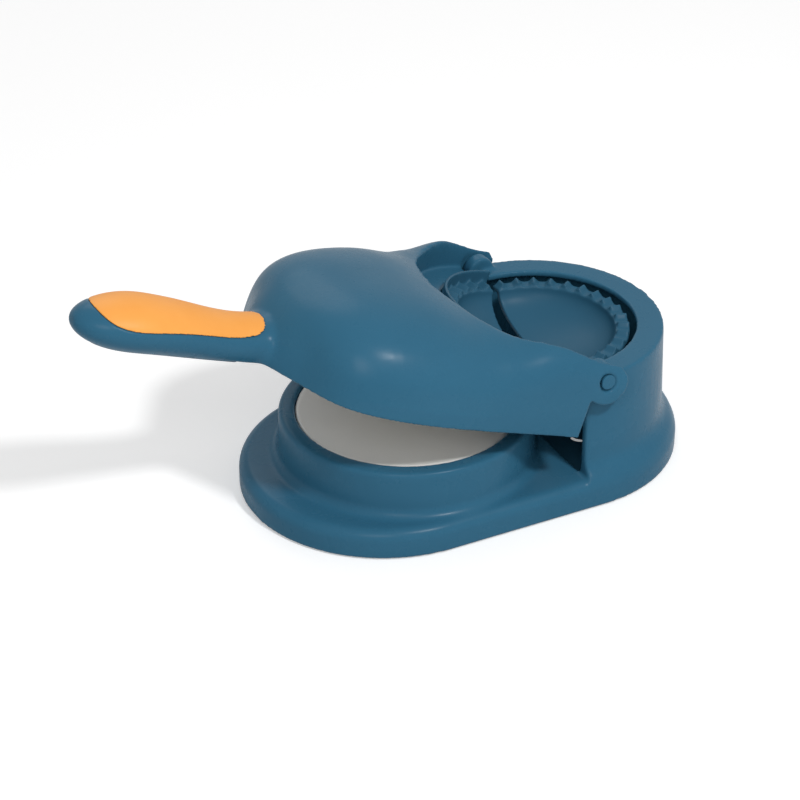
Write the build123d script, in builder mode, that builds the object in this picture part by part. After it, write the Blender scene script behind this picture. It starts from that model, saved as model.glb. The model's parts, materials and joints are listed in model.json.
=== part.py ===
from build123d import *
import os
from math import cos, exp, log, radians, sin, sqrt

# A two-in-one dumpling press. The left of the base carries a white plate on which
# a lever presses dough flat; the tower on the right carries half a folding mould,
# and the lever's head carries the other half. Both share one hinge axis.
# Origin: the middle of the footprint, on the surface that the press stands on.
# +X runs from the handle towards the tower, +Z is up. Lever pieces are drawn in
# the closed position and then turned up to the resting angle.

# ---------------------------------------------------------------- base sizes
base_length = 195.0
base_width = 122.0
skirt_bottom = 0.4       # the press stands on its bottom cover, just below the skirt
skirt_height = 13.0
skirt_round = 5.0
wall = 2.6
cover_thickness = 2.6
cover_gap = 0.3          # between the bottom cover and the skirt
pad_radius = 7.0         # rubber pads, flush with the bottom cover
pad_thickness = 1.2
pad_x = 78.0
pad_y = 22.0
cover_screw_x = 62.0
cover_screw_y = 46.0

# ---------------------------------------------------------------- press plate
plate_x = -25.75
plate_radius = 46.5
plate_top = 32.4
plate_dish = 3.0         # how far the middle of the plate lies below its edge
plate_thickness = 2.4
plate_gap = 0.25
plate_under = 1.0        # free height below the plate
ring_top = 33.2
ring_round = 2.0
ring_band = 6.95         # width of the blue band round the plate
ring_draft = 0.6         # the ring wall leans out by this much down to its foot
cove_width = 3.2         # the hollow fillet between the ring wall and the deck
cove_height = 5.0
cove_radius = 5.0

# ---------------------------------------------------------------- tower
hinge_x = 36.0
hinge_z = 58.4
tower_radius = 53.7      # outside of the rim
tower_draft = 1.1
tower_foot_low = 8.0      # where the flared foot leaves the skirt
tower_foot_top = 22.0
tower_wall = 3.0
tower_front = 7.0        # how far the side walls run in front of the hinge
wall_lean = 0.4          # the straight side walls stand this much further out
rim_inner_radius = 42.3
rim_thickness = 3.0
ledge_drop = 8.4         # the side walls step down by this in front of the hinge
ear_radius = 6.0
ear_depth = 6.5
ear_skin = 1.5           # the pin holes stop this far inside the ears
rib_width = 2.4          # the rib that holds the posts of the fixed mould half
rib_top = 30.0
rib_reach = 49.5

# ---------------------------------------------------------------- mould halves
mould_radius = 39.6
mould_cavity_radius = 33.5
mould_depth = 14.0
mould_wall = 2.0
mould_flange_drop = 3.0  # flange surface below the hinge plane
mould_flange = 2.2
tooth_count = 16
tooth_height = 2.3
tooth_width = 5.2
tooth_root = 0.4         # the teeth are sunk this far into the flange
tooth_inset = 0.2        # from the flange's edge
tooth_end = 1.0          # and this far short of the cavity
fold_gap = 0.8           # from the hinge plane to each mould half
guard_wall = 1.4         # thin wall round the moving half
guard_height = 3.4
guard_gap = 0.6          # between the guard and the fixed half
lip_radius = 47.0        # outside of the lip that holds the moving half
lip_thickness = 2.2
lip_screw_circle = 44.4
lip_screw_length = 5.0
lip_end = 8.0            # the lip stops this far before the hinge
mould_post_x = 16.0      # screw posts of the fixed half, from the hinge
mould_post_y = 13.0

# ---------------------------------------------------------------- lever
rest_angle = 19.0        # how far the lever is raised at rest
lever_rim_z = 33.0
lever_wall = 2.6
lever_half_width = 59.5
arm_spread = 0.7         # the arms stand a little further out at the hinge
flare_x = -83.2          # where the neck begins to flare in plan
flare_softness = 1.9
flare_length = 74.3
flare_power = 0.58
lever_top = 72.7
neck_roof = 47.8         # the lever's back rises from here ...
neck_end_x = -93.0
climb_length = 16.3      # ... over about this length
neck_tuck = 5.0          # the body starts this much narrower, inside the handle
tuck_start_x = -96.0
tuck_end_x = -89.0
dome_x = -40.0           # the lever's back: the top of the dome ...
saddle_x = -7.0          # ... a shallow saddle behind it ...
saddle_depth = 3.6
arm_crest_x = 15.0       # ... and the arms, which rise again a little
arm_rise = 0.8
arm_crest_end_x = 23.0
arm_fall = 2.0           # and run down to the hinge
arm_fall_x = 38.0
square_start_x = -29.0   # the arch turns from round to square over this stretch
square_end_x = 23.0
round_side = 3.0         # how square the arch is, at the dome and at the arms
square_side = 6.6
round_roof = 2.7
square_roof = 5.2
lever_end_x = 48.0
arm_inner = 55.2         # inside faces of the two arms
arm_end_radius = 10.0
arm_boss_radius = 9.0
ear_gap = 0.6
floor_end_gap = 1.0      # the floor stops this far before the hinge
opening_radius = 55.0
floor_z = 56.6           # top of the sunken floor inside the opening
floor_thickness = 4.0
floor_gap = 0.2          # between the floor and the moving half
panel_end_x = 30.0       # rear edge of the side panels
neck_x = -104.0
neck_half_width = 12.6
handle_half_width = 16.8
handle_half_height = 11.0
handle_z = 42.6
handle_tip_x = -175.5
handle_round_x = -146.0
neck_length = 27.0       # how far the waist of the neck reaches
neck_slimming = 1.5
neck_drop = 3.0
tip_drop = 1.2           # the end of the handle hangs this much lower
handle_wall = 2.6
body_hollow_x = -86.0    # the lever's body is hollow from here on
grip_core_x = -174.0     # the core under the grip pad starts here
handle_hollow_x = -168.0
handle_hollow_end_x = -98.0
handle_cover_x = -134.0
handle_cover_length = 66.0
handle_cover_width = 15.0
handle_post_z = 35.2
handle_post_inset = 17.0 # from each end of the handle's cover
cover_edge_drop = 4.0    # the cover's edge lies this far below the handle's middle
handle_seat = 33.8
handle_screw_length = 6.5
grip_thickness = 2.2
grip_front_x = -93.0
grip_back_x = -171.0

# ---------------------------------------------------------------- hinge pins
pin_radius = 2.6
pin_gap = 0.06
pin_head_radius = 3.2
pin_head_depth = 1.3
pin_head_sink = 0.3
pin_recess_radius = 4.1
pin_recess_y = 57.6

# ---------------------------------------------------------------- press disc
disc_radius = 43.0
disc_thickness = 2.6
disc_gap = 1.0           # between the disc and the plate's edge when closed
disc_peg_radius = 2.4
disc_post_radius = 4.6
disc_post_circle = 36.0
disc_peg_length = 7.0
disc_flattening = 0.6    # the disc bulges this much less than the plate is dished

# ---------------------------------------------------------------- fasteners
screw_radius = 1.4
screw_length = 7.0       # below the head
screw_head_radius = 2.8
screw_head_height = 1.6
screw_gap = 0.05
head_gap = 0.2
tip_room = 0.5           # a screw hole is this much longer at either end
slot_length = 3.6        # cross slot in each head
slot_width = 0.7
slot_depth = 0.8
plate_screw_circle = 34.0
plate_screw_grip = 2.0   # how far a screw goes into the plate
mould_screw_length = 6.0
mould_screw_grip = 4.0   # thickness of the post below the mould half
cover_screw_sink = 0.8   # the seat of the cover screws, above the face of the cover
cover_screw_end = 0.75
post_radius = 4.2

bond = 0.5               # parts of one moulding are drawn this far into each other
above_z = lever_top + 20 # clear above and behind the lever
behind_x = lever_end_x + 20

HINGE = Axis((hinge_x, 0, hinge_z), (0, 1, 0))
os.makedirs("parts", exist_ok=True)


def save(piece, label):
    piece.label = label
    export_step(piece, f"parts/{label}.step")


def raised(piece):
    """A lever piece turned from the closed position up to its resting angle."""
    return piece.rotate(HINGE, rest_angle)


def ease(start, end, x):
    """A smooth step from 0 at start to 1 at end."""
    t = min(max((x - start) / (end - start), 0), 1)
    return t * t * (3 - 2 * t)


def foot_curve(outer, inner, low, high):
    """The S-shaped flare from (outer, low) up to (inner, high), as two arcs."""
    middle = ((outer + inner) / 2, (low + high) / 2)
    bend = ((outer - inner) ** 2 + (high - low) ** 2) / (4 * (outer - inner))
    RadiusArc((outer, low), middle, -bend)
    RadiusArc(middle, (inner, high), bend)


def rods(places, radius, low, high):
    """Round rods along Z from low to high, one at each place."""
    with BuildPart() as group:
        with BuildSketch(Plane.XY.offset(low)):
            with Locations(*places):
                Circle(radius)
        extrude(amount=high - low)
    return group.part


def screws(places, seat, length=screw_length):
    """Pan-head screws that point up, with the underside of each head at z = seat."""
    with BuildPart() as group:
        add(rods(places, screw_head_radius, seat - screw_head_height, seat))
        add(rods(places, screw_radius, seat, seat + length))
        with BuildSketch(Plane.XY.offset(seat - screw_head_height)):
            with Locations(*places):
                Rectangle(slot_length, slot_width)
                Rectangle(slot_width, slot_length)
        extrude(amount=slot_depth, mode=Mode.SUBTRACT)
    return group.part


def screw_holes(places, seat, length=screw_length):
    """The clearance for the shanks of such screws."""
    return rods(places, screw_radius + screw_gap, seat - tip_room, seat + length + tip_room)


def head_pockets(places, low, seat):
    """The clearance for their heads, open down to low."""
    return rods(places, screw_head_radius + head_gap, low, seat)


# ================================================================ base shell
base_radius = base_width / 2
ring_radius = plate_radius + plate_gap + ring_band
ring_foot_radius = ring_radius + ring_draft
seat_z = plate_top - plate_dish - plate_thickness - plate_under
deck_under = skirt_height - wall
tower_foot_radius = tower_radius + tower_draft
tower_inner_radius = tower_radius - tower_wall
tower_front_x = hinge_x - tower_front
ledge_z = hinge_z - ledge_drop
ear_outer_y = tower_radius + wall_lean
pin_end_y = ear_outer_y - ear_depth + ear_skin
mould_flange_z = hinge_z - mould_flange_drop
mould_bottom_z = mould_flange_z - mould_depth - mould_wall
mould_posts = [(hinge_x + mould_post_x, side * mould_post_y) for side in (-1, 1)]
post_foot = cover_thickness + cover_gap

plate_posts = [
    (plate_x + plate_screw_circle * cos(radians(a)), plate_screw_circle * sin(radians(a)))
    for a in (60, 180, 300)
]
cover_screw_places = [(i * cover_screw_x, j * cover_screw_y) for i in (-1, 1) for j in (-1, 1)]
pad_places = [(i * pad_x, j * pad_y) for i in (-1, 1) for j in (-1, 1)]
cover_seat = cover_thickness - cover_screw_sink
cover_screw_length = deck_under - cover_seat - 2 * cover_screw_end
mould_seat = mould_bottom_z - mould_screw_grip
plate_seat = seat_z - wall


def tower_profile(top_radius, top_z):
    """Half of the tower seen along X: skirt, flared foot and wall up to top_z."""
    Line((0, skirt_bottom), (base_radius, skirt_bottom))
    Line((base_radius, skirt_bottom), (base_radius, tower_foot_low))
    foot_curve(base_radius, tower_foot_radius, tower_foot_low, tower_foot_top)
    Line((tower_foot_radius, tower_foot_top), (top_radius, top_z))
    Line((top_radius, top_z), (0, top_z))
    Line((0, top_z), (0, skirt_bottom))


with BuildPart() as base_shell:
    with BuildSketch(Plane.XY.offset(skirt_bottom)):
        SlotOverall(base_length, base_width)
    extrude(amount=skirt_height - skirt_bottom)
    fillet(base_shell.edges().group_by(Axis.Z)[-1], skirt_round)

    # the tower: half a turn behind the hinge and straight side walls before it
    with BuildSketch(Plane.YZ.offset(hinge_x)):
        with BuildLine():
            tower_profile(tower_radius, hinge_z)
        make_face()
    revolve(axis=Axis((hinge_x, 0, 0), (0, 0, 1)), revolution_arc=-180)
    with BuildSketch(Plane.YZ.offset(hinge_x)):
        with BuildLine():
            tower_profile(ear_outer_y, ledge_z)
        make_face()
        mirror(about=Plane.YZ)
    extrude(amount=-tower_front)

    # the round wall that carries the plate, with a cove down to the deck
    with BuildSketch(Plane.XZ):
        with BuildLine():
            cove_foot = (plate_x + ring_foot_radius + cove_width, skirt_height)
            cove_top = (plate_x + ring_foot_radius, skirt_height + cove_height)
            Line((plate_x, skirt_bottom), (cove_foot[0], skirt_bottom))
            Line((cove_foot[0], skirt_bottom), cove_foot)
            RadiusArc(cove_foot, cove_top, cove_radius)
            Line(cove_top, (plate_x + ring_radius, ring_top))
            Line((plate_x + ring_radius, ring_top), (plate_x, ring_top))
            Line((plate_x, ring_top), (plate_x, skirt_bottom))
        make_face()
    revolve(axis=Axis((plate_x, 0, 0), (0, 0, 1)))
    ring_edge = base_shell.edges().filter_by(GeomType.CIRCLE).filter_by_position(
        Axis.Z, ring_top - 0.01, ring_top + 0.01
    )
    fillet(ring_edge, ring_round)

    # the tower is hollow down to the bottom cover and open towards the plate
    with BuildSketch(Plane.XY.offset(skirt_bottom)):
        with Locations((hinge_x, 0)):
            Circle(tower_inner_radius)
        with Locations((tower_front_x - base_length / 2, 0)):
            Rectangle(base_length, base_width, mode=Mode.SUBTRACT)
    extrude(amount=hinge_z - rim_thickness - skirt_bottom, mode=Mode.SUBTRACT)
    with BuildSketch(Plane.XY.offset(skirt_bottom)):
        with Locations(((tower_front_x + hinge_x) / 2, 0)):
            Rectangle(tower_front, 2 * tower_inner_radius)
    extrude(amount=hinge_z - rim_thickness - skirt_bottom, mode=Mode.SUBTRACT)
    with BuildSketch(Plane.XY.offset(hinge_z)):
        with Locations((hinge_x, 0)):
            Circle(rim_inner_radius)
    extrude(amount=-2 * rim_thickness, mode=Mode.SUBTRACT)
    for side in (-1, 1):
        with BuildSketch(Plane.XZ.offset(side * ear_outer_y)):
            with Locations((hinge_x, hinge_z)):
                Circle(ear_radius)
        extrude(amount=-side * ear_depth)

    # hollows: under the plate, under the deck, and the seat of the plate
    with BuildSketch(Plane.XY.offset(skirt_bottom)):
        SlotOverall(base_length - 2 * wall, base_width - 2 * wall)
    extrude(amount=deck_under - skirt_bottom, mode=Mode.SUBTRACT)
    add(rods([(plate_x, 0)], ring_radius - wall, skirt_bottom, plate_seat), mode=Mode.SUBTRACT)
    add(rods([(plate_x, 0)], plate_radius + plate_gap, seat_z, ring_top), mode=Mode.SUBTRACT)

    # a rib across the tower with the posts of the mould half, then all screw holes
    with BuildSketch(Plane.XY.offset(post_foot)):
        with Locations((hinge_x + mould_post_x, 0)):
            Rectangle(rib_width, 2 * rib_reach)
    extrude(amount=rib_top - post_foot)
    add(rods(mould_posts, post_radius, post_foot, mould_bottom_z))
    add(rods(cover_screw_places, post_radius, cover_thickness, deck_under))
    add(head_pockets(mould_posts, 0, mould_seat), mode=Mode.SUBTRACT)
    add(screw_holes(mould_posts, mould_seat), mode=Mode.SUBTRACT)
    add(screw_holes(plate_posts, plate_seat), mode=Mode.SUBTRACT)
    add(screw_holes(cover_screw_places, cover_seat, cover_screw_length), mode=Mode.SUBTRACT)
    # blind holes for the hinge pins
    for side in (-1, 1):
        with BuildSketch(Plane.XZ.offset(side * pin_end_y)):
            with Locations((hinge_x, hinge_z)):
                Circle(pin_radius)
        extrude(amount=side * base_radius, mode=Mode.SUBTRACT)
save(base_shell.part, "base_shell")

# ================================================================ base fittings
with BuildPart() as bottom_cover:
    with BuildSketch():
        SlotOverall(base_length - 2 * (wall + cover_gap), base_width - 2 * (wall + cover_gap))
    extrude(amount=cover_thickness)
    add(rods(pad_places, pad_radius, 0, pad_thickness), mode=Mode.SUBTRACT)
    add(rods(mould_posts, post_radius + cover_gap, 0, cover_thickness), mode=Mode.SUBTRACT)
    add(head_pockets(cover_screw_places, 0, cover_seat), mode=Mode.SUBTRACT)
    add(screw_holes(cover_screw_places, cover_seat), mode=Mode.SUBTRACT)
save(bottom_cover.part, "bottom_cover")
save(screws(cover_screw_places, cover_seat, cover_screw_length), "bottom_cover_screws")

for number, place in enumerate(pad_places, 1):
    save(rods([place], pad_radius, 0, pad_thickness), f"rubber_pad_{number}")

with BuildPart() as press_plate:
    with BuildSketch(Plane.XZ):
        with BuildLine():
            edge_x = plate_x + plate_radius
            RadiusArc(
                (plate_x, plate_top - plate_dish),
                (edge_x, plate_top),
                -(plate_radius**2 + plate_dish**2) / (2 * plate_dish),
            )
            Line((edge_x, plate_top), (edge_x, seat_z))
            inner_x = edge_x - plate_thickness
            Line((edge_x, seat_z), (inner_x, seat_z))
            Line((inner_x, seat_z), (inner_x, plate_top - plate_thickness))
            Line((inner_x, plate_top - plate_thickness),
                 (plate_x, plate_top - plate_dish - plate_thickness))
            Line((plate_x, plate_top - plate_dish - plate_thickness), (plate_x, plate_top - plate_dish))
        make_face()
    revolve(axis=Axis((plate_x, 0, 0), (0, 0, 1)))
    add(rods(plate_posts, post_radius, seat_z, plate_top - plate_dish))
    add(screw_holes(plate_posts, plate_seat, wall + plate_screw_grip), mode=Mode.SUBTRACT)
save(press_plate.part, "press_plate")
save(screws(plate_posts, plate_seat, wall + plate_screw_grip), "press_plate_screws")


# ================================================================ mould halves
def mould_half():
    """A half bowl behind the hinge with a toothed flange, open upwards."""
    with BuildPart() as half:
        with BuildSketch(Plane.XZ):
            with BuildLine():
                outer = mould_cavity_radius + mould_wall
                low = mould_depth + mould_wall
                Polyline(
                    (hinge_x, mould_bottom_z),
                    (hinge_x, mould_flange_z),
                    (hinge_x + mould_radius, mould_flange_z),
                    (hinge_x + mould_radius, mould_flange_z - mould_flange),
                    (hinge_x + outer, mould_flange_z - mould_flange),
                )
                EllipticalCenterArc(
                    (hinge_x, mould_flange_z - mould_flange), outer, low - mould_flange,
                    start_angle=270, arc_size=90,
                )
            make_face()
        revolve(axis=Axis((hinge_x, 0, 0), (0, 0, 1)))
        with BuildSketch(Plane.XZ):
            with BuildLine():
                EllipticalCenterArc(
                    (hinge_x, mould_flange_z), mould_cavity_radius, mould_depth,
                    start_angle=270, arc_size=90,
                )
                Line((hinge_x + mould_cavity_radius, mould_flange_z), (hinge_x, mould_flange_z))
                Line((hinge_x, mould_flange_z), (hinge_x, mould_flange_z - mould_depth))
            make_face()
        revolve(axis=Axis((hinge_x, 0, 0), (0, 0, 1)), mode=Mode.SUBTRACT)
        pitch = 180 / tooth_count
        tooth_circle = mould_radius - tooth_inset
        for number in range(tooth_count):
            angle = radians(-90 + pitch * (number + 0.5))
            along = Plane(
                origin=(hinge_x + tooth_circle * cos(angle), tooth_circle * sin(angle),
                        mould_flange_z - tooth_root),
                x_dir=(-sin(angle), cos(angle), 0),
                z_dir=(-cos(angle), -sin(angle), 0),
            )
            with BuildSketch(along):
                with BuildLine():
                    Polyline((-tooth_width / 2, 0), (0, -tooth_height - tooth_root),
                             (tooth_width / 2, 0), close=True)
                make_face()
            extrude(amount=mould_radius - mould_cavity_radius - tooth_end)
        with BuildSketch(Plane.XY.offset(mould_bottom_z)):
            with Locations((hinge_x + fold_gap - mould_radius, 0)):
                Rectangle(2 * mould_radius, 3 * mould_radius)
        extrude(amount=3 * mould_depth, mode=Mode.SUBTRACT)
    return half.part


half_mould = mould_half()
with BuildPart() as fixed_mould:
    add(half_mould)
    with BuildSketch(Plane.XY.offset(mould_bottom_z)):
        with Locations(*mould_posts):
            Circle(post_radius)
    extrude(until=Until.NEXT)
    add(screw_holes(mould_posts, mould_seat, mould_screw_length), mode=Mode.SUBTRACT)
save(fixed_mould.part, "fixed_mould")
save(screws(mould_posts, mould_seat, mould_screw_length), "fixed_mould_screws")


# ================================================================ lever
def lever_half_plan(x):
    """Half width of the lever's rim at x: the neck, flaring into a rounded front."""
    reach = flare_softness * log(1 + exp((x - flare_x) / flare_softness))
    share = min(1.0, (reach / flare_length) ** flare_power)
    flare = (lever_half_width - neck_half_width) * sqrt(1 - (1 - share) ** 2)
    tuck = neck_tuck * (1 - ease(tuck_start_x, tuck_end_x, x))
    return neck_half_width + flare + arm_spread * ease(0, hinge_x, x) - tuck


def lever_roof(x):
    """Height of the lever's back: up from the neck, a shallow saddle, then the arms."""
    climb = (lever_top - neck_roof) * (1 - exp(-(x - neck_end_x) / climb_length))
    saddle = -saddle_depth * ease(dome_x, saddle_x, x)
    arms = (saddle_depth + arm_rise) * ease(saddle_x, arm_crest_x, x)
    return neck_roof + climb + saddle + arms - arm_fall * ease(arm_crest_end_x, arm_fall_x, x)


def lever_section(x, inset):
    """The closed arch of the lever's body at x, drawn inset by a wall."""
    half = lever_half_plan(x) - inset
    rise = lever_roof(x) - inset - lever_rim_z
    squareness = ease(square_start_x, square_end_x, x)
    side_power = 2 / (round_side + (square_side - round_side) * squareness)
    roof_power = 2 / (round_roof + (square_roof - round_roof) * squareness)
    angles = (6, 14, 24, 36, 50, 65, 78)
    right = [
        (half * cos(radians(a)) ** side_power, rise * sin(radians(a)) ** roof_power)
        for a in angles
    ]
    left = [(-y, z) for y, z in reversed(right)]
    with BuildSketch(Plane(origin=(x, 0, lever_rim_z), x_dir=(0, 1, 0), z_dir=(1, 0, 0))) as section:
        with BuildLine():
            Spline([(half, 0), *right, (0, rise), *left, (-half, 0)], tangents=[(0, 1), (0, -1)])
            Line((-half, 0), (half, 0))
        make_face()
    return section.sketch


def lever_body(inset, start):
    """The lever's body without its handle, as one solid."""
    places = [x for x in body_stations if x >= start]
    with BuildPart() as body:
        for x in places:
            add(lever_section(x, inset))
        loft()
    return body.part


def neck_share(x):
    """How fully the waist of the neck is felt at x."""
    return exp(-(((x - neck_x) / neck_length) ** 2))


def handle_ellipse(x, inset):
    """Centre height and the two half sizes of the handle at x."""
    taper = 1.0
    if x < handle_round_x:
        taper = sqrt(max(0.0, 1 - ((x - handle_round_x) / (handle_round_x - handle_tip_x)) ** 2))
    wide = handle_half_width - (handle_half_width - neck_half_width) * neck_share(x)
    high = handle_half_height - neck_slimming * neck_share(x)
    middle = handle_z - neck_drop * neck_share(x) - tip_drop * ease(handle_round_x, handle_tip_x, x)
    return middle, wide * taper - inset, high * taper - inset


def handle_body(inset, start, end):
    """The handle between start and end, as one solid, drawn inset by a wall."""
    with BuildPart() as body:
        for x in [x for x in handle_stations if start <= x <= end]:
            middle, wide, high = handle_ellipse(x, inset)
            with BuildSketch(Plane(origin=(x, 0, middle), x_dir=(0, 1, 0), z_dir=(1, 0, 0))):
                Ellipse(wide, high)
        loft()
    return body.part


body_stations = [
    -96, -93.5, -91, -88.5, body_hollow_x, -83, -79, -74, -67, -58, -47,
    -34, -22, -12, -3, 5, 13, 22, 30, 38, lever_end_x,
]
handle_stations = [
    handle_tip_x + 0.4, grip_core_x, -171.5, handle_hollow_x, -163, -156, handle_round_x,
    -135, -122, -110, -103, handle_hollow_end_x, -94, -90, -86,
]

body_outer = lever_body(0, handle_tip_x)
body_inner = lever_body(lever_wall, body_hollow_x)
handle_outer = handle_body(0, handle_tip_x, 0)
grip_core = handle_body(grip_thickness, grip_core_x, 0)
handle_core = handle_body(grip_thickness + handle_wall, handle_hollow_x, handle_hollow_end_x)
cover_core = handle_body(handle_wall, handle_hollow_x, handle_hollow_end_x)

# the grip pad covers the upper part of the handle; its lower edge is one flowing
# line, almost level along the handle and turned up at both ends
with BuildPart() as grip_region:
    with BuildSketch(Plane.XZ.offset(-2 * handle_half_width)):
        with BuildLine():
            Spline(
                (grip_back_x - 3, handle_z + 14),
                (grip_back_x + 5, handle_z + 4.5),
                (handle_round_x, handle_z + 2.6),
                (neck_x - 20, handle_z + 2.2),
                (neck_x + 1, handle_z + 2.0),
                (grip_front_x - 3.5, handle_z + 4.5),
                (grip_front_x, handle_z + 10),
                (grip_front_x + 0.4, handle_z + 20),
            )
            Line((grip_front_x + 0.4, handle_z + 20), (grip_back_x - 3, handle_z + 20))
            Line((grip_back_x - 3, handle_z + 20), (grip_back_x - 3, handle_z + 14))
        make_face()
    extrude(amount=4 * handle_half_width)
grip_pad = (handle_outer & grip_region.part) - grip_core
grip_pad = grip_pad - body_outer

with BuildPart() as cover_region:
    with BuildSketch():
        with Locations((handle_cover_x, 0)):
            SlotOverall(handle_cover_length, handle_cover_width)
    extrude(amount=handle_z - cover_edge_drop)
handle_posts = [(handle_cover_x + i * (handle_cover_length / 2 - handle_post_inset), 0) for i in (-1, 1)]

# the collar, floor and posts of the shell, trimmed to its outside
disc_posts = [
    (plate_x + disc_post_circle * cos(radians(a)), disc_post_circle * sin(radians(a)))
    for a in (60, 180, 300)
]
floor_under_z = floor_z - floor_thickness
guard_inner_radius = mould_radius + guard_gap
guard_outer_radius = guard_inner_radius + guard_wall
lip_seat = floor_under_z - lip_thickness
lip_screw_places = [
    (hinge_x + lip_screw_circle * cos(radians(a)), lip_screw_circle * sin(radians(a)))
    for a in (130, 180, 230)
]
disc_under_z = plate_top + disc_gap
disc_back_z = disc_under_z + disc_thickness
with BuildPart() as shell_collar:
    add(rods([(hinge_x, 0)], opening_radius + lever_wall, floor_z - floor_thickness, above_z))
    add(rods([(hinge_x, 0)], opening_radius, floor_z, above_z), mode=Mode.SUBTRACT)
    add(rods([(hinge_x, 0)], guard_outer_radius + floor_gap, 0, lever_top), mode=Mode.SUBTRACT)
    with BuildSketch(Plane.XY):
        with Locations((hinge_x + base_length / 2 - floor_end_gap, 0)):
            Rectangle(base_length, base_length)
    extrude(amount=2 * lever_top, mode=Mode.SUBTRACT)

with BuildPart() as arm_bosses:
    for side in (-1, 1):
        with BuildSketch(Plane.XZ.offset(side * arm_inner)):
            with Locations((hinge_x, hinge_z)):
                Circle(arm_boss_radius)
        extrude(amount=side * (lever_half_width - arm_inner))

with BuildPart() as lever_shell:
    add(body_outer)
    add(handle_outer)
    add(body_inner, mode=Mode.SUBTRACT)
    add(shell_collar.part & body_outer)
    add(rods(disc_posts, disc_post_radius, disc_back_z, above_z) & body_outer)
    add(arm_bosses.part & body_outer)
    # the opening over the moving mould half
    add(rods([(hinge_x, 0)], opening_radius, floor_z, above_z), mode=Mode.SUBTRACT)
    with BuildSketch(Plane.XY):
        with Locations((hinge_x + base_length / 2, 0)):
            Rectangle(base_length, 2 * opening_radius)
    extrude(amount=2 * lever_top, mode=Mode.SUBTRACT)
    # the rear edge: upright, then round the hinge
    with BuildSketch(Plane.XZ.offset(-base_width)):
        with BuildLine():
            Line((panel_end_x, 0), (behind_x, 0))
            Line((behind_x, 0), (behind_x, above_z))
            Line((behind_x, above_z), (hinge_x, above_z))
            Line((hinge_x, above_z), (hinge_x, hinge_z + arm_end_radius))
            arc_low = hinge_z - sqrt(arm_end_radius**2 - (hinge_x - panel_end_x) ** 2)
            ThreePointArc((hinge_x, hinge_z + arm_end_radius), (hinge_x + arm_end_radius, hinge_z),
                          (panel_end_x, arc_low))
            Line((panel_end_x, arc_low), (panel_end_x, 0))
        make_face()
    extrude(amount=2 * base_width, mode=Mode.SUBTRACT)
    # room for the ears of the tower
    with BuildSketch(Plane.XZ.offset(-arm_inner)):
        with Locations((hinge_x, hinge_z)):
            Circle(ear_radius + ear_gap)
    extrude(amount=2 * arm_inner, mode=Mode.SUBTRACT)
    add(rods(disc_posts, disc_peg_radius, 0, disc_back_z + disc_peg_length + tip_room), mode=Mode.SUBTRACT)
    add(screw_holes(lip_screw_places, lip_seat, lip_screw_length), mode=Mode.SUBTRACT)
    # the handle: pocket of the grip, hollow and opening of its cover
    add(grip_pad, mode=Mode.SUBTRACT)
    add(handle_core, mode=Mode.SUBTRACT)
    add(handle_outer & cover_region.part, mode=Mode.SUBTRACT)
    add(rods(handle_posts, post_radius, handle_post_z, lever_top) & grip_core)
    add(screw_holes(handle_posts, handle_seat, handle_screw_length), mode=Mode.SUBTRACT)
    # the hinge pins and their recesses
    with BuildSketch(Plane.XZ.offset(-base_width)):
        with Locations((hinge_x, hinge_z)):
            Circle(pin_radius + pin_gap)
    extrude(amount=2 * base_width, mode=Mode.SUBTRACT)
    for side in (-1, 1):
        with BuildSketch(Plane.XZ.offset(side * pin_recess_y)):
            with Locations((hinge_x, hinge_z)):
                Circle(pin_recess_radius)
        extrude(amount=side * pin_recess_y, mode=Mode.SUBTRACT)
save(raised(lever_shell.part), "lever_shell")
save(raised(grip_pad), "grip_pad")

# ================================================================ lever fittings
cover_posts = rods(handle_posts, post_radius, handle_seat - 1, handle_post_z) & handle_outer
with BuildPart() as handle_cover:
    add((handle_outer & cover_region.part) - cover_core)
    add(cover_posts)
    add(head_pockets(handle_posts, 0, handle_seat), mode=Mode.SUBTRACT)
    add(screw_holes(handle_posts, handle_seat, handle_screw_length), mode=Mode.SUBTRACT)
save(raised(handle_cover.part), "handle_cover")
save(raised(screws(handle_posts, handle_seat, handle_screw_length)), "handle_cover_screws")

with BuildPart() as moving_mould:
    add(half_mould.mirror(Plane.YZ.offset(hinge_x)))
    with BuildSketch(Plane.XZ):
        with BuildLine():
            Polyline(
                (hinge_x - mould_radius + bond, mould_flange_z),
                (hinge_x - guard_inner_radius, mould_flange_z),
                (hinge_x - guard_inner_radius, hinge_z + guard_height),
                (hinge_x - guard_outer_radius, hinge_z + guard_height),
                (hinge_x - guard_outer_radius, floor_under_z),
                (hinge_x - lip_radius, floor_under_z),
                (hinge_x - lip_radius, lip_seat),
                (hinge_x - mould_radius + bond, lip_seat),
                close=True,
            )
        make_face()
    revolve(axis=Axis((hinge_x, 0, 0), (0, 0, 1)))
    # the lip stops before the ears, and the whole half stops at the fold
    with BuildSketch(Plane.XY):
        with Locations((hinge_x + base_length / 2 - fold_gap, 0)):
            Rectangle(base_length, base_length)
    extrude(amount=2 * lever_top, mode=Mode.SUBTRACT)
    with BuildSketch(Plane.XY):
        for side in (-1, 1):
            with Locations((hinge_x, side * (guard_outer_radius + base_width / 2))):
                Rectangle(2 * lip_end, base_width)
    extrude(amount=2 * lever_top, mode=Mode.SUBTRACT)
    add(screw_holes(lip_screw_places, lip_seat, lip_screw_length), mode=Mode.SUBTRACT)
save(raised(moving_mould.part), "moving_mould")
save(raised(screws(lip_screw_places, lip_seat, lip_screw_length)), "moving_mould_screws")

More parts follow.
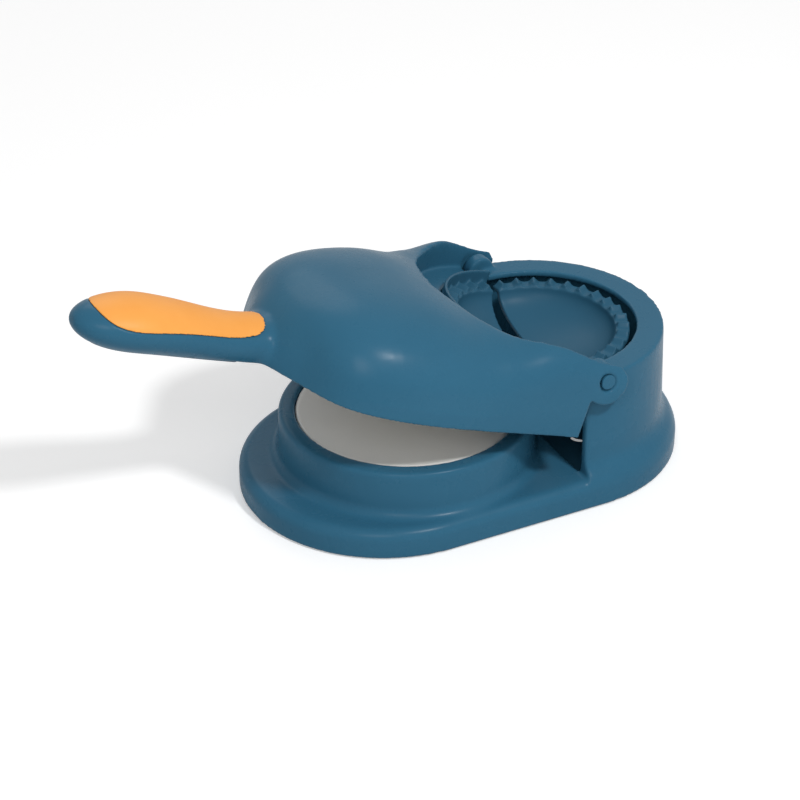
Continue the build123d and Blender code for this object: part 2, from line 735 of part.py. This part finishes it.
with BuildPart() as upper_press_disc:
    with BuildSketch(Plane.XZ):
        with BuildLine():
            edge_x = plate_x + disc_radius
            bulge = plate_dish - disc_flattening
            RadiusArc((plate_x, disc_under_z - bulge), (edge_x, disc_under_z),
                      -(disc_radius**2 + bulge**2) / (2 * bulge))
            Line((edge_x, disc_under_z), (edge_x, disc_back_z))
            Line((edge_x, disc_back_z), (plate_x, disc_back_z))
            Line((plate_x, disc_back_z), (plate_x, disc_under_z - bulge))
        make_face()
    revolve(axis=Axis((plate_x, 0, 0), (0, 0, 1)))
    add(rods(disc_posts, disc_peg_radius, disc_back_z - bond, disc_back_z + disc_peg_length))
save(raised(upper_press_disc.part), "upper_press_disc")

# ================================================================ hinge pins
for side, name in ((-1, "hinge_pin_far"), (1, "hinge_pin_near")):
    head_y = pin_recess_y + pin_head_sink
    with BuildPart() as pin:
        with BuildSketch(Plane.XZ.offset(side * pin_end_y)):
            with Locations((hinge_x, hinge_z)):
                Circle(pin_radius)
        extrude(amount=side * (head_y - pin_end_y))
        with BuildSketch(Plane.XZ.offset(side * head_y)):
            with Locations((hinge_x, hinge_z)):
                Circle(pin_head_radius)
        extrude(amount=side * pin_head_depth)
    save(pin.part, name)
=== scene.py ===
import json
from math import cos, hypot, radians, sin

import bmesh
import bpy
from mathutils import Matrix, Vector


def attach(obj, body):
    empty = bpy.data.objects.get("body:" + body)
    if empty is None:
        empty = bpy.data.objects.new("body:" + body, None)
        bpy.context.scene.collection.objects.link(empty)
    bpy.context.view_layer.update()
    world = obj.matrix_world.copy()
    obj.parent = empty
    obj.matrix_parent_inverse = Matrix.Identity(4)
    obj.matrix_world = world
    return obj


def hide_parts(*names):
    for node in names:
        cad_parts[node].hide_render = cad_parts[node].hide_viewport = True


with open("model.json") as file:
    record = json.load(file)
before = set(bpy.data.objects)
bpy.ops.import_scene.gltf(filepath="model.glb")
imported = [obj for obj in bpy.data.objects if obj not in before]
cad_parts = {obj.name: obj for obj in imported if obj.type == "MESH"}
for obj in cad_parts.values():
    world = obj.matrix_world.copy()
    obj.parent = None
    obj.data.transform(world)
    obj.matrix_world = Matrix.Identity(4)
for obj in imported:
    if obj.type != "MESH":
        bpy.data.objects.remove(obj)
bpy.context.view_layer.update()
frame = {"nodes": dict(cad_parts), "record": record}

nodes = frame["nodes"]
scene = bpy.context.scene
MM = 0.001


# ---------------------------------------------------------------- materials
def new_material(name):
    """A material with a Principled shader, and its texture coordinates."""
    material = bpy.data.materials.new(name)
    material.use_nodes = True
    tree = material.node_tree
    tree.nodes.clear()
    output = tree.nodes.new("ShaderNodeOutputMaterial")
    shader = tree.nodes.new("ShaderNodeBsdfPrincipled")
    tree.links.new(shader.outputs["BSDF"], output.inputs["Surface"])
    place = tree.nodes.new("ShaderNodeTexCoord")
    return material, tree, shader, place


def noise(tree, place, scale, detail=3.0, roughness=0.5, stretch=(1, 1, 1)):
    """Noise in object space; scale is in repeats per metre."""
    mapping = tree.nodes.new("ShaderNodeMapping")
    mapping.inputs["Scale"].default_value = stretch
    tree.links.new(place.outputs["Object"], mapping.inputs["Vector"])
    texture = tree.nodes.new("ShaderNodeTexNoise")
    texture.inputs["Scale"].default_value = scale
    texture.inputs["Detail"].default_value = detail
    texture.inputs["Roughness"].default_value = roughness
    tree.links.new(mapping.outputs["Vector"], texture.inputs["Vector"])
    return texture.outputs["Fac"]


def map_range(tree, value, first, last, low, high):
    """value, from first to last, turned into low to high."""
    node = tree.nodes.new("ShaderNodeMapRange")
    node.inputs["From Min"].default_value = first
    node.inputs["From Max"].default_value = last
    node.inputs["To Min"].default_value = low
    node.inputs["To Max"].default_value = high
    tree.links.new(value, node.inputs["Value"])
    return node.outputs["Result"]


def spread(tree, noise_value, low, high):
    """The common range of a noise, 0.3 to 0.7, turned into low to high."""
    return map_range(tree, noise_value, 0.3, 0.7, low, high)


def between(tree, factor, first, second):
    """A colour mixed from two by factor."""
    node = tree.nodes.new("ShaderNodeMix")
    node.data_type = "RGBA"
    node.inputs["A"].default_value = (*first, 1)
    node.inputs["B"].default_value = (*second, 1)
    tree.links.new(factor, node.inputs["Factor"])
    return node.outputs["Result"]


def bump(tree, shader, height, strength, distance):
    """Relief from height; distance in metres."""
    node = tree.nodes.new("ShaderNodeBump")
    node.inputs["Strength"].default_value = strength
    node.inputs["Distance"].default_value = distance
    tree.links.new(height, node.inputs["Height"])
    tree.links.new(node.outputs["Normal"], shader.inputs["Normal"])


def moulded_plastic(name, base, shade, rough, grain=0.05, shine=0.10):
    """Injection-moulded plastic: faint flow marks, handling haze and a fine spark grain."""
    material, tree, shader, place = new_material(name)
    flow = noise(tree, place, 22, 4.0, 0.55, (1, 1, 2.2))
    haze = noise(tree, place, 70, 5.0, 0.6)
    grain_noise = noise(tree, place, 2600, 2.0, 0.5)
    tree.links.new(between(tree, spread(tree, flow, 0, 1), base, shade), shader.inputs["Base Color"])
    tree.links.new(spread(tree, haze, rough - 0.035, rough + 0.05), shader.inputs["Roughness"])
    bump(tree, shader, grain_noise, grain, 0.00004)
    shader.inputs["IOR"].default_value = 1.49
    shader.inputs["Specular IOR Level"].default_value = shine
    return material


def plated_steel(name):
    """Zinc-plated steel, dulled in fine patches."""
    material, tree, shader, place = new_material(name)
    wear = noise(tree, place, 900, 4.0, 0.6)
    colour = between(tree, spread(tree, wear, 0, 1), (0.60, 0.60, 0.62), (0.47, 0.47, 0.50))
    tree.links.new(colour, shader.inputs["Base Color"])
    tree.links.new(spread(tree, wear, 0.24, 0.42), shader.inputs["Roughness"])
    bump(tree, shader, wear, 0.08, 0.00005)
    shader.inputs["Metallic"].default_value = 1.0
    return material


def soft_grip(name, base, shade):
    """Soft orange rubber with a fine pattern of low dots."""
    material, tree, shader, place = new_material(name)
    mottle = noise(tree, place, 60, 4.0, 0.55)
    dots = tree.nodes.new("ShaderNodeTexVoronoi")
    dots.inputs["Scale"].default_value = 420
    dots.inputs["Randomness"].default_value = 0.15
    tree.links.new(place.outputs["Object"], dots.inputs["Vector"])
    cap = map_range(tree, dots.outputs["Distance"], 0.15, 0.40, 1.0, 0.0)
    tree.links.new(between(tree, spread(tree, mottle, 0, 1), base, shade), shader.inputs["Base Color"])
    tree.links.new(spread(tree, mottle, 0.40, 0.52), shader.inputs["Roughness"])
    bump(tree, shader, cap, 0.10, 0.0001)
    shader.inputs["Specular IOR Level"].default_value = 0.25
    return material


blue = moulded_plastic("blue_plastic", (0.031, 0.128, 0.212), (0.027, 0.118, 0.198), 0.27, 0.04)
# a darker copy of the blue plastic: painted shade for the parts in the cavity and underneath, the mould
# halves and the covers
painted_shade_blue = moulded_plastic("blue_plastic_painted_shade", (0.028, 0.108, 0.178), (0.024, 0.098, 0.162), 0.38, 0.06)
white = moulded_plastic("white_plastic", (0.76, 0.75, 0.72), (0.73, 0.72, 0.685), 0.34, 0.04, 0.35)
orange = soft_grip("orange_grip", (0.93, 0.395, 0.085), (0.905, 0.372, 0.074))
rubber = moulded_plastic("black_rubber", (0.030, 0.030, 0.031), (0.022, 0.022, 0.023), 0.75, 0.3)
steel = plated_steel("plated_steel")


# ---------------------------------------------------------------- pieces
REGION_PACE = 0.6  # how far a vertex moves towards its neighbours' mean in a round
SMOOTH_FACTOR = 0.5
LAST_ROUNDS = 3  # smoothing after the faces are thinned out


def soften_region(mesh, weight, rounds):
    """Extra smoothing of the vertices for which weight(position) is above zero."""
    shape = bmesh.new()
    shape.from_mesh(mesh)
    shape.verts.ensure_lookup_table()
    chosen = [(vertex, weight(vertex.co)) for vertex in shape.verts]
    chosen = [(vertex, amount) for vertex, amount in chosen if amount > 0]
    for _ in range(rounds):
        moved = []
        for vertex, amount in chosen:
            others = [edge.other_vert(vertex).co for edge in vertex.link_edges]
            mean = sum(others, Vector()) / len(others)
            moved.append(vertex.co.lerp(mean, REGION_PACE * amount))
        for (vertex, _), place in zip(chosen, moved):
            vertex.co = place
    shape.to_mesh(mesh)
    shape.free()


def softened(node, material, voxel, rounds, share=0.5, region=None, region_rounds=0, swell=0.0):
    """A moulded copy of a CAD node: its arrises rounded as a mould rounds them.

    voxel and swell, the growth of the skin, are in millimetres; share is the share of faces kept.
    """
    piece = bpy.data.objects.new(node + "_moulded", nodes[node].data.copy())
    scene.collection.objects.link(piece)
    body = [name for name, members in frame["record"]["behaviour"]["bodies"].items() if node in members][0]
    remesh = piece.modifiers.new("remesh", "REMESH")
    remesh.mode = "VOXEL"
    remesh.voxel_size = voxel * MM
    remesh.use_smooth_shade = True
    smooth = piece.modifiers.new("smooth", "SMOOTH")
    smooth.factor = SMOOTH_FACTOR
    smooth.iterations = rounds
    fewer = piece.modifiers.new("fewer", "DECIMATE")
    fewer.ratio = share
    even = piece.modifiers.new("even", "SMOOTH")
    even.factor = SMOOTH_FACTOR
    even.iterations = LAST_ROUNDS
    skin = piece.modifiers.new("skin", "DISPLACE")
    skin.mid_level = 0.0
    skin.strength = swell * MM
    graph = bpy.context.evaluated_depsgraph_get()
    mesh = bpy.data.meshes.new_from_object(piece.evaluated_get(graph))
    piece.modifiers.clear()
    piece.data = mesh
    if region:
        soften_region(mesh, region, region_rounds)
    for polygon in mesh.polygons:
        polygon.use_smooth = True
    mesh.materials.clear()
    mesh.materials.append(material)
    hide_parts(node)
    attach(piece, body)


def dressed(node, material):
    """A CAD node whose shape is kept, with its material."""
    mesh = nodes[node].data
    mesh.materials.clear()
    mesh.materials.append(material)


hinge = frame["record"]["behaviour"]["joints"][0]
HINGE_X, _, HINGE_Z = hinge["pos_m"]
REST_ANGLE = radians(-hinge["range_deg"][0])  # the lever is closed at the lower limit
NECK_X, NECK_REACH = -0.0965, 0.010  # where the neck runs into the dome, with the lever closed
LIP_RADIUS, LIP_REACH, LIP_LOW_Z = 0.055, 0.006, 0.062  # lip of the opening round the hinge


def closed_x(place):
    """X of a point of the raised lever, as if the lever were closed."""
    x, z = place.x - HINGE_X, place.z - HINGE_Z
    return HINGE_X + x * cos(REST_ANGLE) - z * sin(REST_ANGLE)


def closed_z(place):
    """Z of a point of the raised lever, as if the lever were closed."""
    x, z = place.x - HINGE_X, place.z - HINGE_Z
    return HINGE_Z + x * sin(REST_ANGLE) + z * cos(REST_ANGLE)


def lever_blend(place):
    """1 where the neck meets the dome and at the lip of the opening, falling to 0 around both."""
    x = closed_x(place)
    neck = max(0.0, 1 - ((x - NECK_X) / NECK_REACH) ** 2)
    away = hypot(x - HINGE_X, place.y) - LIP_RADIUS
    lip = max(0.0, 1 - (away / LIP_REACH) ** 2) if closed_z(place) > LIP_LOW_Z else 0.0
    return max(neck, lip)


softened("base_shell", blue, 0.8, 5)
softened("lever_shell", blue, 0.6, 6, 0.6, lever_blend, 30, swell=-0.08)
# the mould halves take the darker blue, a painted shade inside the cavity
softened("fixed_mould", painted_shade_blue, 0.5, 3)
softened("moving_mould", painted_shade_blue, 0.5, 3)
softened("grip_pad", orange, 0.4, 5)
softened("press_plate", white, 0.6, 4)
softened("upper_press_disc", white, 0.6, 4)
for name in ("hinge_pin_near", "hinge_pin_far"):
    softened(name, blue, 0.25, 3)
# the covers take the darker blue, a painted shade under the body
for name in ("bottom_cover", "handle_cover"):
    dressed(name, painted_shade_blue)
for name in nodes:
    if name.endswith("_screws"):
        dressed(name, steel)
    if name.startswith("rubber_pad"):
        dressed(name, rubber)

# ---------------------------------------------------------------- stage
FLOOR_SIZE = 6.0
FLOOR_GLOW = 0.30  # lifts the floor to white, for camera rays alone
SKY_STRENGTH = 0.42
floor_mesh = bpy.data.meshes.new("floor")
half = FLOOR_SIZE / 2
corners = [(-half, -half, 0), (half, -half, 0), (half, half, 0), (-half, half, 0)]
floor_mesh.from_pydata(corners, [], [(0, 1, 2, 3)])
floor = bpy.data.objects.new("floor", floor_mesh)
scene.collection.objects.link(floor)
floor_material, tree, shader, place = new_material("floor")
shader.inputs["Base Color"].default_value = (0.86, 0.86, 0.86, 1)
shader.inputs["Roughness"].default_value = 0.9
light_path = tree.nodes.new("ShaderNodeLightPath")
brighten = tree.nodes.new("ShaderNodeMath")
brighten.operation = "MULTIPLY"
brighten.inputs[1].default_value = FLOOR_GLOW
tree.links.new(light_path.outputs["Is Camera Ray"], brighten.inputs[0])
tree.links.new(brighten.outputs["Value"], shader.inputs["Emission Strength"])
shader.inputs["Emission Color"].default_value = (1, 1, 1, 1)
floor_mesh.materials.append(floor_material)

world = bpy.data.worlds.new("studio")
world.use_nodes = True
scene.world = world
tree = world.node_tree
tree.nodes.clear()
sky = tree.nodes.new("ShaderNodeBackground")
white_sky = tree.nodes.new("ShaderNodeBackground")
mix = tree.nodes.new("ShaderNodeMixShader")
path = tree.nodes.new("ShaderNodeLightPath")
total = tree.nodes.new("ShaderNodeMath")
total.operation = "MAXIMUM"
shiny = tree.nodes.new("ShaderNodeMath")
shiny.operation = "MAXIMUM"
output = tree.nodes.new("ShaderNodeOutputWorld")
sky.inputs["Color"].default_value = (1, 1, 1, 1)
sky.inputs["Strength"].default_value = SKY_STRENGTH
white_sky.inputs["Strength"].default_value = 1.0
tree.links.new(path.outputs["Is Camera Ray"], total.inputs[0])
tree.links.new(path.outputs["Is Glossy Ray"], shiny.inputs[0])
tree.links.new(path.outputs["Is Transmission Ray"], shiny.inputs[1])
tree.links.new(shiny.outputs["Value"], total.inputs[1])
tree.links.new(total.outputs["Value"], mix.inputs["Fac"])
tree.links.new(sky.outputs["Background"], mix.inputs[1])
tree.links.new(white_sky.outputs["Background"], mix.inputs[2])
tree.links.new(mix.outputs["Shader"], output.inputs["Surface"])


def area_light(name, place, target, size, watts):
    """A round lamp at place that faces target."""
    data = bpy.data.lights.new(name, "AREA")
    data.shape = "DISK"
    data.size = size
    data.energy = watts
    lamp = bpy.data.objects.new(name, data)
    lamp.location = place
    lamp.rotation_euler = (Vector(target) - Vector(place)).to_track_quat("-Z", "Y").to_euler()
    scene.collection.objects.link(lamp)


area_light("key", (0.17, -0.80, 1.10), (0, 0, 0.04), 0.15, 8.5)
area_light("fill", (-0.6, -0.9, 0.9), (0, 0, 0.04), 0.5, 3.2)
area_light("back", (0.2, 1.1, 1.1), (0, 0, 0.05), 0.8, 2.4)

# ---------------------------------------------------------------- camera
AIM_HEIGHT = 0.035
SHIFT_RIGHT, SHIFT_UP = -0.0256, -0.0057
CAMERA_DISTANCE = 1.055
azimuth, elevation = radians(-27.2), radians(31.3)
back = Vector((sin(azimuth) * cos(elevation), -cos(azimuth) * cos(elevation), sin(elevation)))
right = Vector((cos(azimuth), sin(azimuth), 0))
up = back.cross(right)
camera_data = bpy.data.cameras.new("camera")
camera_data.lens = 112.5
camera_data.sensor_width = 36.0
camera_data.clip_start = 0.01
camera = bpy.data.objects.new("camera", camera_data)
aim = right * SHIFT_RIGHT + up * SHIFT_UP + Vector((0, 0, AIM_HEIGHT))
camera.location = back * CAMERA_DISTANCE + aim
camera.rotation_euler = (-back).to_track_quat("-Z", "Y").to_euler()
scene.collection.objects.link(camera)
scene.camera = camera
scene.view_settings.view_transform = "Standard"
